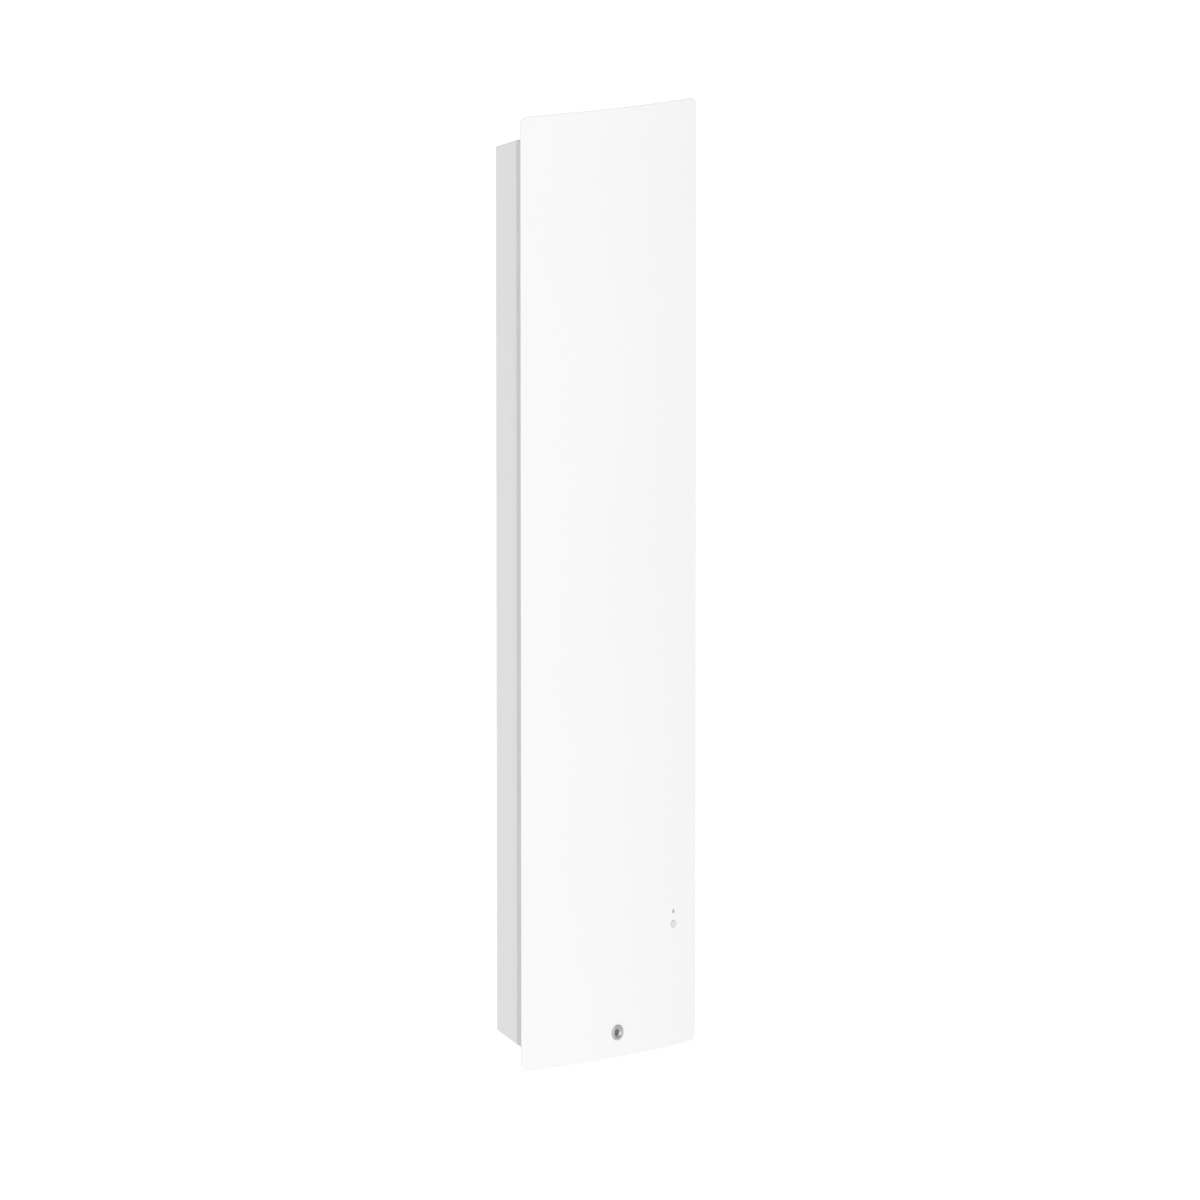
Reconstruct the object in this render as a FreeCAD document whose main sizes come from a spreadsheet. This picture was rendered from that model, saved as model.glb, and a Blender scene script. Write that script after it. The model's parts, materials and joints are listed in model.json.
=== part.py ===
import FreeCAD, Part
import Sketcher
import math
import os
import re

# Wall battery unit. Origin on the wall, midway between the four wall bolts: +Z up, +Y into the
# wall, +X to the right as seen from the room. Depths are measured from the wall, so y = -depth.
# The chassis (tray, frame, cells, electronics) hangs on two wall brackets. The bowed cover swings
# on two pins at the top, and a quarter-turn lock at its foot holds it shut.

V = FreeCAD.Vector
Turn = FreeCAD.Rotation
doc = FreeCAD.newDocument("wall_battery_unit")

DIMENSIONS = [
    ("cover_width", 344.6, "cover across its long edges"),
    ("cover_height", 1340, "cover from top to foot"),
    ("cover_bow", 16, "rise of the bow from the long edges to the middle"),
    ("cover_sheet", 2, "thickness of the cover panel"),
    ("cover_corner", 11, "corner radius of the cover"),
    ("cover_rim", 1.2, "rounding of the cover's front edge"),
    ("cover_edge", 78, "depth of the cover's long edges"),
    ("bond_gap", 0.4, "adhesive between the panel and its stiffening"),
    ("wall_gap", 8, "depth of the tray's back"),
    ("tray_front", 58.5, "depth of the tray's front edge"),
    ("frame_front", 70, "depth of the front frame's face"),
    ("back_half", 153.2, "half width of the tray's back"),
    ("back_rise", 621.9, "half height of the tray's back"),
    ("front_half", 162.2, "half width of the tray's front edge"),
    ("front_rise", 635.8, "half height of the tray's front edge"),
    ("tray_sheet", 2, "wall of the tray"),
    ("frame_inset", 0.3, "step from the tray's edge in to the frame"),
    ("case_corner", 2, "corner radius of the tray and frame"),
    ("frame_sheet", 2.2, "wall of the front frame"),
    ("opening_half", 145, "half width of the frame's opening"),
    ("opening_top", 600, "top of the frame's opening"),
    ("opening_foot", -587, "foot of the frame's opening"),
    ("divider", -430, "foot of the sealed compartment"),
    ("lid_half", 156, "half width of the inner lid"),
    ("lid_sheet", 1.5, "inner lid sheet"),
    ("gasket", 1.5, "lid gasket under load"),
    ("hinge_reach", 100, "hinge from the middle"),
    ("hinge_rise", 648, "height of the hinge pins"),
    ("hinge_depth", 74, "depth of the hinge pins"),
    ("pin_radius", 3, "hinge pin"),
    ("running_gap", 0.05, "clearance of a pin in its moving bore"),
    ("lock_height", -634.4, "height of the lock"),
    ("lock_radius", 11, "face of the lock"),
    ("barrel_radius", 7, "turning barrel of the lock"),
    ("key_well", 7, "depth of the key recess"),
    ("button_side", 119, "button and light from the middle"),
    ("button_height", -495.8, "height of the button"),
    ("light_height", -477.9, "height of the status light"),
    ("button_radius", 4.75, "button cap"),
    ("button_front", 89.2, "depth of the button's face"),
    ("light_front", 86.1, "depth of the status light's face"),
    ("bolt_half", 120, "wall bolts from the middle"),
    ("bolt_rise", 560, "wall bolts above and below the middle"),
    ("bolt_radius", 3.5, "wall bolt hole"),
    ("bracket_sheet", 2, "wall bracket sheet"),
    ("cell_width", 118, "cell across, terminals to foot"),
    ("cell_length", 105, "cell up the unit"),
    ("cell_depth", 44, "cell front to back"),
    ("cell_pitch", 108, "from one cell to the next up the unit"),
    ("cell_start", -266, "foot of the lowest cells"),
    ("cell_inner", 26, "middle to the cells' terminal faces"),
    ("cell_back", 12, "depth of the cells' backs"),
    ("cell_rows", 8, "rows of cells"),
    ("gland_depth", 37, "depth of the cable glands on the tray's foot"),
    ("lock_screw_depth", 14.5, "depth of the screw that ties the tray to the lower bracket"),
    ("stack_sheet", 1.5, "sheet of the cover's stiffening"),
    ("housing_front", 76, "depth of the control housing's face"),
]

sheet = doc.addObject("Spreadsheet::Sheet", "dims")
for row, (alias, amount, note) in enumerate(DIMENSIONS, 1):
    sheet.set(f"A{row}", note)
    sheet.set(f"B{row}", str(amount))
    sheet.setAlias(f"B{row}", alias)
doc.recompute()

ALIASES = {alias for alias, _, _ in DIMENSIONS}
LONG = {"X": V(1, 0, 0), "Y": V(0, 1, 0), "Z": V(0, 0, 1)}
PIECES = []

# Expressions used by several pieces.
TRAY_DEPTH = "(tray_front - wall_gap)"
SIDE_SLOPE = f"((front_half - back_half) / {TRAY_DEPTH})"
FOOT_SLOPE = f"((front_rise - back_rise) / {TRAY_DEPTH})"
BOW_RADIUS = "((cover_width ^ 2 / 4 + cover_bow ^ 2) / (2 * cover_bow))"
BOW_CENTRE = f"({BOW_RADIUS} - cover_edge - cover_bow)"
APEX = "(cover_edge + cover_bow)"
LID_FACE = "(frame_front + gasket + lid_sheet)"
GLANDS = [("-80", "12.4", "30", "8.5"), ("-38", "12.4", "30", "8.5"), ("40", "7.9", "20", "4.5")]
GLAND_PLATE_HOLES = [(x, y) for x in ("-108", "68") for y in ("-10", "10")]
SCREW = ("3", "2", "1.8", "7")
HINGE_HOLES = [(f"{side}hinge_reach + {shift}", "622") for side in ("-", "") for shift in (-17, 17)]
KEEPER_HOLES = [("-10", "-596"), ("10", "-596")]
CONTROL_HOLES = [("button_side + 29.5", f"button_height + {rise}") for rise in (4, 12)]
LID_HOLES = [(f"{side}150.5", f"{z}") for side in ("", "-") for z in (-400, -200, 0, 200, 400, 590)]


def bound(text):
    """An expression in which each dimension's name points at its cell."""
    return re.sub(r"[a-z_]+", lambda m: "dims." + m.group() if m.group() in ALIASES else m.group(), str(text))


def number(text):
    return float(sheet.evalExpression(bound(text)))


def bind(thing, **properties):
    """Binds each property, written with __ for a dot, to an expression of the sheet."""
    for name, text in properties.items():
        thing.setExpression(name.replace("__", "."), bound(text))
    return thing


def piece(thing, label):
    """Names a finished piece. Its label is the name of its file."""
    thing.Label = label
    PIECES.append(thing)
    return thing


# ---- solids from primitives and booleans


def move(thing, x, y, z, turn=None):
    if turn is not None:
        thing.Placement = FreeCAD.Placement(V(), turn)
    return bind(thing, Placement__Base__x=x, Placement__Base__y=y, Placement__Base__z=z)


def block(x, y, z):
    """A box between two expressions along each axis."""
    thing = doc.addObject("Part::Box", "block")
    bind(thing, Length=f"({x[1]}) - ({x[0]})", Width=f"({y[1]}) - ({y[0]})", Height=f"({z[1]}) - ({z[0]})")
    return move(thing, x[0], y[0], z[0])


def aligned(axis):
    return Turn(LONG["Z"], LONG[axis])


def rod(axis, x, y, z, radius, length):
    """A cylinder that starts at a point and runs along +axis."""
    thing = doc.addObject("Part::Cylinder", "rod")
    bind(thing, Radius=radius, Height=length)
    return move(thing, x, y, z, aligned(axis))


def hexagon(axis, x, y, z, flats, length):
    thing = doc.addObject("Part::Prism", "hexagon")
    thing.Polygon = 6
    bind(thing, Circumradius=f"({flats}) / sqrt(3)", Height=length)
    return move(thing, x, y, z, aligned(axis))


def cone(axis, x, y, z, start, end, length):
    thing = doc.addObject("Part::Cone", "cone")
    bind(thing, Radius1=start, Radius2=end, Height=length)
    return move(thing, x, y, z, aligned(axis))


def fuse(*things):
    thing = doc.addObject("Part::MultiFuse", "fuse")
    thing.Shapes = list(things)
    thing.Refine = True
    return thing


def group(things):
    thing = doc.addObject("Part::Compound", "group")
    thing.Links = list(things)
    return thing


def cut(base, *tools):
    thing = doc.addObject("Part::Cut", "cut")
    thing.Base = base
    thing.Tool = tools[0] if len(tools) == 1 else group(tools)
    return thing


def common(first, second):
    thing = doc.addObject("Part::Common", "common")
    thing.Base = first
    thing.Tool = second
    return thing


def fixed(label, shape):
    """A piece whose shape is made by function, from sizes read off the sheet."""
    thing = doc.addObject("Part::Feature", label)
    thing.Shape = shape
    return piece(thing, label)


def copies(label, master, places):
    """Identical loose solids: one bound master, repeated at each place."""
    doc.recompute()
    return fixed(label, Part.makeCompound([master.Shape.translated(V(*place)) for place in places]))


# ---- bodies from sketches


def body(label):
    return piece(doc.addObject("PartDesign::Body", label), label)


def sketch(owner, plane, offset="0", outlines=(), circles=()):
    """A sketch of closed outlines and circles on one of the body's own planes.

    XZ_Plane: x right, y up, offset away from the wall. XY_Plane: x right, y towards the wall,
    offset up. YZ_Plane: x towards the wall, y up, offset right.
    """
    face = next(f for f in owner.Origin.OriginFeatures if f.Role == plane)
    drawing = owner.newObject("Sketcher::SketchObject", "sketch")
    drawing.AttachmentSupport = [(face, "")]
    drawing.MapMode = "FlatFace"
    drawing.setExpression("AttachmentOffset.Base.z", bound(offset))

    def pin(element, point, place):
        for kind, text in zip(("DistanceX", "DistanceY"), place):
            rule = drawing.addConstraint(Sketcher.Constraint(kind, -1, 1, element, point, number(text)))
            drawing.setExpression(f"Constraints[{rule}]", bound(text))

    for corners in outlines:
        points = [V(number(x), number(y), 0) for x, y in corners]
        first = drawing.GeometryCount
        count = len(points)
        for i in range(count):
            drawing.addGeometry(Part.LineSegment(points[i], points[(i + 1) % count]), False)
        for i in range(count):
            after = first + (i + 1) % count
            drawing.addConstraint(Sketcher.Constraint("Coincident", first + i, 2, after, 1))
            pin(first + i, 1, corners[i])
    for x, y, radius in circles:
        ring = drawing.addGeometry(Part.Circle(V(number(x), number(y), 0), V(0, 0, 1), number(radius)), False)
        pin(ring, 3, (x, y))
        rule = drawing.addConstraint(Sketcher.Constraint("Radius", ring, number(radius)))
        drawing.setExpression(f"Constraints[{rule}]", bound(radius))
    return drawing


def rectangle(x, y):
    """Corners of a rectangle from two expressions along each axis."""
    return [(x[0], y[0]), (x[1], y[0]), (x[1], y[1]), (x[0], y[1])]


def pad(owner, drawing, length, both=False):
    feature = owner.newObject("PartDesign::Pad", "pad")
    feature.Profile = drawing
    feature.Midplane = both
    return bind(feature, Length=length)


def pierce(owner, drawing):
    """Cuts the sketch right through, both ways."""
    doc.recompute()
    before = owner.Shape.Volume
    feature = owner.newObject("PartDesign::Pocket", "pierce")
    feature.Profile = drawing
    feature.Type = "ThroughAll"
    feature.Midplane = True
    doc.recompute()
    assert owner.Shape.Volume < before - 0.01, owner.Label
    return feature


def sink(owner, drawing, depth, reverse=False):
    """Cuts the sketch to a depth."""
    doc.recompute()
    before = owner.Shape.Volume
    feature = owner.newObject("PartDesign::Pocket", "sink")
    feature.Profile = drawing
    feature.Reversed = reverse
    bind(feature, Length=depth)
    doc.recompute()
    assert owner.Shape.Volume < before - 0.01, owner.Label
    return feature


def loft(owner, kind, start, end):
    feature = owner.newObject(f"PartDesign::{kind}Loft", "loft")
    feature.Profile = start
    feature.Sections = [end]
    feature.Ruled = True
    return feature


def round_edges(owner, feature, radius, chosen):
    """Fillets the edges for which chosen(edge) is true."""
    doc.recompute()
    names = [f"Edge{i}" for i, edge in enumerate(feature.Shape.Edges, 1) if chosen(edge)]
    fillet = owner.newObject("PartDesign::Fillet", "fillet")
    fillet.Base = (feature, names)
    return bind(fillet, Radius=radius)


def runs_along(axis):
    def test(edge):
        tangent = edge.tangentAt(edge.FirstParameter)
        return abs(abs(tangent.dot(LONG[axis])) - 1) < 1e-6 and edge.Curve.TypeId == "Part::GeomLine"

    return test


def at_depth(depth):
    """Edges that lie at a depth from the wall."""
    level = -number(depth)

    def test(edge):
        return all(abs(vertex.Y - level) < 0.01 for vertex in edge.Vertexes)

    return test


def turned(label, height, profile, x="0"):
    """A body of revolution about an axis along Y. The profile's points are (y, radius)."""
    owner = body(label)
    drawing = sketch(owner, "YZ_Plane", outlines=[profile])
    feature = owner.newObject("PartDesign::Revolution", "turned")
    feature.Profile = drawing
    feature.ReferenceAxis = (drawing, ["H_Axis"])
    feature.Angle = 360
    bind(owner, Placement__Base__x=x, Placement__Base__z=height)
    return owner


# ---- fasteners and wires


def pan_screw(head, reach, shank, length):
    """A socket pan-head screw along +Y, with the underside of its head at the origin."""
    start = ("0", f"-{reach}", "0")
    whole = fuse(rod("Y", *start, head, reach), rod("Y", "0", "0", "0", shank, length))
    return cut(whole, hexagon("Y", *start, f"{head} * 0.8", f"{reach} * 0.6"))


def wire(points, radius, bend):
    """A round lead along straight runs joined by tangent arcs of one bend radius."""
    corners = [V(*point) for point in points]
    edges = []
    start = corners[0]
    for before, corner, after in zip(corners, corners[1:], corners[2:]):
        inward = (before - corner).normalize()
        outward = (after - corner).normalize()
        half = inward.getAngle(outward) / 2
        trim = bend / math.tan(half)
        entry = corner + inward * trim
        leave = corner + outward * trim
        middle = (inward + outward).normalize()
        top = corner + middle * (bend / math.sin(half) - bend)
        edges.append(Part.LineSegment(start, entry).toShape())
        edges.append(Part.Arc(entry, top, leave).toShape())
        start = leave
    edges.append(Part.LineSegment(start, corners[-1]).toShape())
    path = Part.Wire(edges)
    ring = Part.Wire(Part.makeCircle(radius, corners[0], corners[1] - corners[0]))
    lead = path.makePipeShell([ring], True, False)
    expected = math.pi * radius**2 * path.Length
    assert abs(lead.Volume / expected - 1) < 0.01
    return lead


def coil(x, z, ends, radius, turns, thickness):
    """A coil spring about an axis along Y, of short runs and arcs."""
    steps = 12
    count = turns * steps
    points = []
    for i in range(count + 1):
        angle = 2 * math.pi * i / steps
        rise = ends[0] + (ends[1] - ends[0]) * i / count
        points.append((x + radius * math.cos(angle), rise, z + radius * math.sin(angle)))
    return wire(points, thickness, 0.9 * radius)


# ---- wall brackets


def wall_brackets():
    lip = "bolt_rise + 45"
    hang = "bolt_rise + 30"
    across = ("-bolt_half - 20", "bolt_half + 20")
    upper = fuse(
        block(across, ("-bracket_sheet", "0"), ("bolt_rise - 30", hang)),
        block(across, ("-5.9", "0"), (f"{hang} - bracket_sheet", hang)),
        block(across, ("-5.9", "-3.9"), (hang, lip)),
    )
    foot = "-back_rise - 7.6"
    tab = ("-20", "20")
    lower = fuse(
        block(across, ("-bracket_sheet", "0"), ("-back_rise + 4", "-bolt_rise + 30")),
        block(tab, ("-bracket_sheet", "0"), (foot, "-back_rise + 4")),
        block(tab, ("-20", "0"), (foot, f"{foot} + bracket_sheet")),
    )
    holes = [rod("Y", side + "bolt_half", "-20", "bolt_rise", "bolt_radius", "30") for side in ("", "-")]
    piece(cut(upper, *holes), "upper_wall_bracket")
    feet = [rod("Y", side + "bolt_half", "-20", "-bolt_rise", "bolt_radius", "30") for side in ("", "-")]
    lock_hole = rod("Z", "0", "-lock_screw_depth", f"{foot} - 5", "2.75", "20")
    piece(cut(lower, *feet, lock_hole), "lower_wall_bracket")
    rail = fuse(
        block(("-130", "130"), ("-wall_gap", "-wall_gap + 1.8"), (lip, "back_rise - 3.4")),
        block(("-130", "130"), ("-wall_gap", "-1.4"), (lip, f"{lip} + 2")),
        block(("-130", "130"), ("-3.4", "-1.4"), (f"{lip} - 11", f"{lip} + 2")),
    )
    piece(rail, "hook_rail")
    screw = fuse(
        rod("Z", "0", "-lock_screw_depth", f"{foot} - 3", "4.2", "3"),
        rod("Z", "0", "-lock_screw_depth", foot, "2.5", "14"),
    )
    socket = hexagon("Z", "0", "-lock_screw_depth", f"{foot} - 3", "4", "2")
    piece(cut(screw, socket), "bracket_lock_screw")


# ---- the case


def rear_tray():
    """Drafted sheet tray, open to the room, with beads pressed across its back."""
    tray = body("rear_tray")
    half, rise = "back_half", "back_rise"
    back = sketch(tray, "XZ_Plane", "wall_gap", [rectangle((f"-{half}", half), (f"-{rise}", rise))])
    wide, tall = "front_half", "front_rise"
    front = sketch(tray, "XZ_Plane", "tray_front", [rectangle((f"-{wide}", wide), (f"-{tall}", tall))])
    outside = loft(tray, "Additive", back, front)
    doc.recompute()
    along_the_front = at_depth("tray_front")
    round_edges(tray, outside, "case_corner", lambda edge: not along_the_front(edge))
    inner_half = f"back_half - tray_sheet + tray_sheet * {SIDE_SLOPE}"
    inner_rise = f"back_rise - tray_sheet + tray_sheet * {FOOT_SLOPE}"
    inner = rectangle((f"-({inner_half})", inner_half), (f"-({inner_rise})", inner_rise))
    floor = sketch(tray, "XZ_Plane", "wall_gap + tray_sheet", [inner])
    wide, tall = "front_half - tray_sheet", "front_rise - tray_sheet"
    mouth = sketch(tray, "XZ_Plane", "tray_front", [rectangle((f"-({wide})", wide), (f"-({tall})", tall))])
    loft(tray, "Subtractive", floor, mouth)
    bead = sketch(tray, "XZ_Plane", "wall_gap", [rectangle(("-110", "110"), ("-455", "-447"))])
    groove = sink(tray, bead, "0.8", reverse=True)
    repeat = tray.newObject("PartDesign::LinearPattern", "beads")
    repeat.Originals = [groove]
    repeat.Direction = (bead, ["V_Axis"])
    repeat.Length = 900
    repeat.Occurrences = 9
    tray.Tip = repeat
    doc.recompute()
    depth = ("-gland_depth - 13", "-gland_depth + 13")
    sink(tray, sketch(tray, "XY_Plane", "-back_rise + 30", [rectangle(("-104", "64"), depth)]), "80")
    holes = [("110", "-gland_depth", "6.6"), ("0", "-lock_screw_depth", "2.75")]
    holes += [(x, y, "2.7") for x in ("-108", "68") for y in ("-gland_depth - 9.6", "-gland_depth + 9.6")]
    sink(tray, sketch(tray, "XY_Plane", "-back_rise + 30", circles=holes), "80")


def front_frame():
    """Moulded frame between the tray and the cover: a drafted rim that carries on the tray's slopes."""
    frame = body("front_frame")

    def outline(depth, wall):
        """The rim's outline at a depth, inside a wall."""
        wide = f"front_half + {SIDE_SLOPE} * ({depth} - tray_front) - frame_inset - {wall}"
        tall = f"front_rise + {FOOT_SLOPE} * ({depth} - tray_front) - frame_inset - {wall}"
        return sketch(frame, "XZ_Plane", depth, [rectangle((f"-({wide})", wide), (f"-({tall})", tall))])

    solid = loft(frame, "Additive", outline("tray_front", "0"), outline("frame_front", "0"))
    round_edges(frame, solid, "case_corner", lambda line: abs(line.Vertexes[0].Y - line.Vertexes[1].Y) > 1)
    inside = "frame_front - frame_sheet"
    loft(frame, "Subtractive", outline("tray_front", "frame_sheet"), outline(inside, "frame_sheet"))
    mouth = rectangle(("-opening_half", "opening_half"), ("opening_foot", "opening_top"))
    half, foot, top = "opening_half + frame_sheet", "opening_foot - frame_sheet", "opening_top + frame_sheet"
    lining = sketch(frame, "XZ_Plane", "tray_front", [rectangle((f"-({half})", half), (foot, top))])
    pad(frame, lining, "frame_front - tray_front")
    pierce(frame, sketch(frame, "XZ_Plane", "frame_front", [mouth]))
    holes = [(x, z, "1.82") for x, z in LID_HOLES + HINGE_HOLES + KEEPER_HOLES + CONTROL_HOLES]
    pierce(frame, sketch(frame, "XZ_Plane", "frame_front", circles=holes))


def grommet(x, y, radius, ways):
    """A rubber collar in the divider, with a way through for each lead."""
    collar = fuse(
        rod("Z", x, y, "divider - 1.5", f"{radius} + 2", "1.5"),
        rod("Z", x, y, "divider - 1.5", radius, "4.5"),
        rod("Z", x, y, "divider + 1.5", f"{radius} + 2", "1.5"),
    )
    return cut(collar, *[rod("Z", way, y, "divider - 5", bore, "15") for way, bore in ways])


def compartment():
    """Divider, gasket and screwed lid that seal the cells off from the service bay."""
    across = ("-opening_half + 0.2", "opening_half - 0.2")
    web = block(across, ("-frame_front", "-wall_gap - tray_sheet"), ("divider", "divider + 1.5"))
    flange = block(across, ("-frame_front", "-frame_front + 1.5"), ("divider - 14", "divider"))
    divider = fuse(web, flange)
    passages = [rod("Z", "-18", "-30", "divider - 5", "15", "15")]
    passages.append(rod("Z", "button_side", "-60", "divider - 5", "3.4", "15"))
    piece(cut(divider, *passages), "bay_divider")
    wide = grommet("-18", "-30", "15", [("-28", "3.55"), ("-17", "3.55")])
    narrow = grommet("button_side", "-60", "3.4", [("button_side", "1.65")])
    piece(group([wide, narrow]), "divider_grommets")

    gasket = body("lid_gasket")
    outer = rectangle(("-lid_half + 1.5", "lid_half - 1.5"), ("divider - 12.5", "opening_top + 6"))
    inner = rectangle(("-opening_half - 1", "opening_half + 1"), ("divider - 2", "opening_top + 1"))
    holes = [(x, z, "2.4") for x, z in LID_HOLES]
    pad(gasket, sketch(gasket, "XZ_Plane", "frame_front", [outer, inner], holes), "gasket")

    lid = body("inner_lid")
    outer = rectangle(("-lid_half", "lid_half"), ("divider - 14", "opening_top + 7"))
    plate = sketch(lid, "XZ_Plane", "frame_front + gasket", [outer], [(x, z, "2.2") for x, z in LID_HOLES])
    pad(lid, plate, "lid_sheet")
    beads = [rectangle(("-118", "118"), (f"{z}", f"{z} + 10")) for z in range(-340, 560, 150)]
    sink(lid, sketch(lid, "XZ_Plane", LID_FACE, beads), "0.6")


# ---- battery


def battery():
    """Two columns of cells with their terminals facing the middle, joined in series."""
    cells, bars = [], []
    middle = "-cell_back - cell_depth / 2"
    flat = (f"{middle} - 9", f"{middle} + 9")
    low_post, high_post = "cell_length * 0.27", "cell_length * 0.73"
    feet = [f"cell_start + {i} * cell_pitch" for i in range(int(number("cell_rows")))]
    for side in (-1, 1):
        face = f"{side} * cell_inner"
        far = f"{side} * (cell_inner + cell_width)"
        tip = f"{side} * (cell_inner - 6)"
        bar = f"{side} * (cell_inner - 8)"
        low_first = slice(None, None, side)
        for foot in feet:
            across = (face, far)[low_first]
            can = block(across, ("-cell_back - cell_depth", "-cell_back"), (foot, f"{foot} + cell_length"))
            start = (tip, face)[low_first][0]
            posts = [rod("X", start, middle, f"{foot} + {rise}", "5", "6") for rise in (low_post, high_post)]
            cells.append(fuse(can, *posts))
        for foot in feet[:-1]:
            rise = (f"{foot} + {high_post} - 8", f"{foot} + cell_pitch + {low_post} + 8")
            bars.append(block((bar, tip)[low_first], flat, rise))
    piece(group(cells), "battery_cells")
    top = f"{feet[-1]} + {high_post}"
    lugs = [block(x, flat, (f"{top} - 8", f"{top} + 8")) for x in sides("cell_inner - 8", "cell_inner - 6")]
    lugs.append(block(("-cell_inner + 7", "cell_inner - 7"), flat, (f"{top} - 1", f"{top} + 1")))
    bars.append(fuse(*lugs))
    piece(group(bars), "cell_busbars")

    stack = ("cell_start", "cell_start + (cell_rows - 1) * cell_pitch + cell_length")
    shield = ("-cell_back - cell_depth + 0.5", "-cell_back - cell_depth + 2")
    piece(block(("-cell_inner + 0.5", "cell_inner - 0.5"), shield, stack), "busbar_cover")
    foam = ("-cell_back", "-wall_gap - tray_sheet")
    right = block(("cell_inner", "cell_inner + cell_width"), foam, stack)
    left = block(("-cell_inner - cell_width", "-cell_inner"), foam, stack)
    piece(group([left, right]), "cell_pads")

    straps = []
    front = ("-cell_back - cell_depth - 1.7", "-cell_back - cell_depth - 0.2")
    end = "cell_inner + cell_width + 1"
    for i in range(1, int(number("cell_rows")), 2):
        middle = f"cell_start + {i} * cell_pitch - 1.5"
        rise = (f"{middle} - 10", f"{middle} + 10")
        bridge = block((f"-({end}) - 1.5", f"{end} + 1.5"), front, rise)
        legs = [block(x, (front[0], "-wall_gap - tray_sheet"), rise) for x in sides(end, f"{end} + 1.5")]
        feet = [block(x, ("-wall_gap - tray_sheet - 1.5", "-wall_gap - tray_sheet"), rise)
                for x in sides(end, f"{end} + 5")]
        straps.append(fuse(bridge, *legs, *feet))
    piece(group(straps), "cell_straps")


def sides(near, far):
    """The same span of x on the right and, mirrored, on the left."""
    return (near, far), (f"-({far})", f"-({near})")


# ---- electronics behind the lid


def electronics():
    back = "-wall_gap - tray_sheet"
    plate = block(("-140", "-37"), (f"{back} - 4", back), ("-415", "-285"))
    posts = [rod("Y", x, f"{back} - 14", z, "3", "11") for x in ("-134", "-43") for z in ("-409", "-291")]
    fin = (f"{back} - 10", f"{back} - 4")
    fins = [block((f"{x}", f"{x} + 2"), fin, ("-400", "-300")) for x in range(-124, -50, 8)]
    piece(fuse(plate, *posts, *fins), "heat_spreader")
    board = (f"{back} - 15.6", f"{back} - 14")

    def chip(x, z, height):
        return block(x, (f"{board[0]} - {height}", board[0]), z)

    parts = [chip((f"{x}", f"{x} + 7"), ("-330", "-312"), "4.5") for x in range(-132, -50, 11)]
    parts += [chip((f"{x}", f"{x} + 5"), ("-352", "-346"), "2.5") for x in range(-128, -60, 9)]
    parts.append(chip(("-112", "-88"), ("-386", "-362"), "3"))
    parts.append(chip(("-66", "-46"), ("-408", "-392"), "12.4"))
    parts += [rod("Y", x, f"{board[0]} - 14", "-298", "5", "14") for x in ("-124", "-110", "-96")]
    piece(fuse(block(("-138", "-39"), board, ("-413", "-287")), *parts), "management_board")

    shell = fuse(
        block(("52", "108"), (f"{back} - 42", back), ("-346", "-296")),
        block(("44", "116"), (f"{back} - 3", back), ("-336", "-306")),
        block(("79", "81"), (f"{back} - 52", f"{back} - 42"), ("-338", "-304")),
        *[rod("Y", x, f"{back} - 50", "-321", "5", "8") for x in ("66", "94")],
    )
    piece(shell, "battery_contactor")
    fuse_body = fuse(
        rod("Z", "22", "-34", "-338", "11", "44"),
        block(("14", "30"), ("-35.5", "-32.5"), ("-352", "-338")),
        block(("14", "30"), ("-35.5", "-32.5"), ("-294", "-280")),
    )
    piece(fuse_body, "main_fuse")
    carriers = [block(("10", "34"), ("-32.5", back), z) for z in (("-352", "-341"), ("-291", "-280"))]
    piece(group(carriers), "fuse_carriers")
    shunt = fuse(
        block(("-37", "-21"), ("-32", "-28"), ("-404", "-385")),
        block(("-35", "-23"), ("-31", "-29"), ("-385", "-365")),
        block(("-37", "-21"), ("-32", "-28"), ("-365", "-346")),
    )
    piece(shunt, "current_shunt")
    power = [(80, -374), (-17, -374), (-17, -458), (25, -458)]
    route = [(x, -30, z) for x, z in [(80, -346), *power, (25, -485)]]
    fixed("positive_lead", wire(route, 3.5, 13))
    route = [(x, -30, z) for x, z in [(-28, -404), (-28, -458), (-70, -458), (-70, -485)]]
    fixed("negative_lead", wire(route, 3.5, 13))
    side, start = number("button_side"), number("light_height") + 19
    route = [(side, -60, start), (side, -60, -400), (-56, -60, -400), (-56, -38, -400)]
    fixed("signal_lead", wire(route, 1.6, 9))


# ---- service bay


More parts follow.
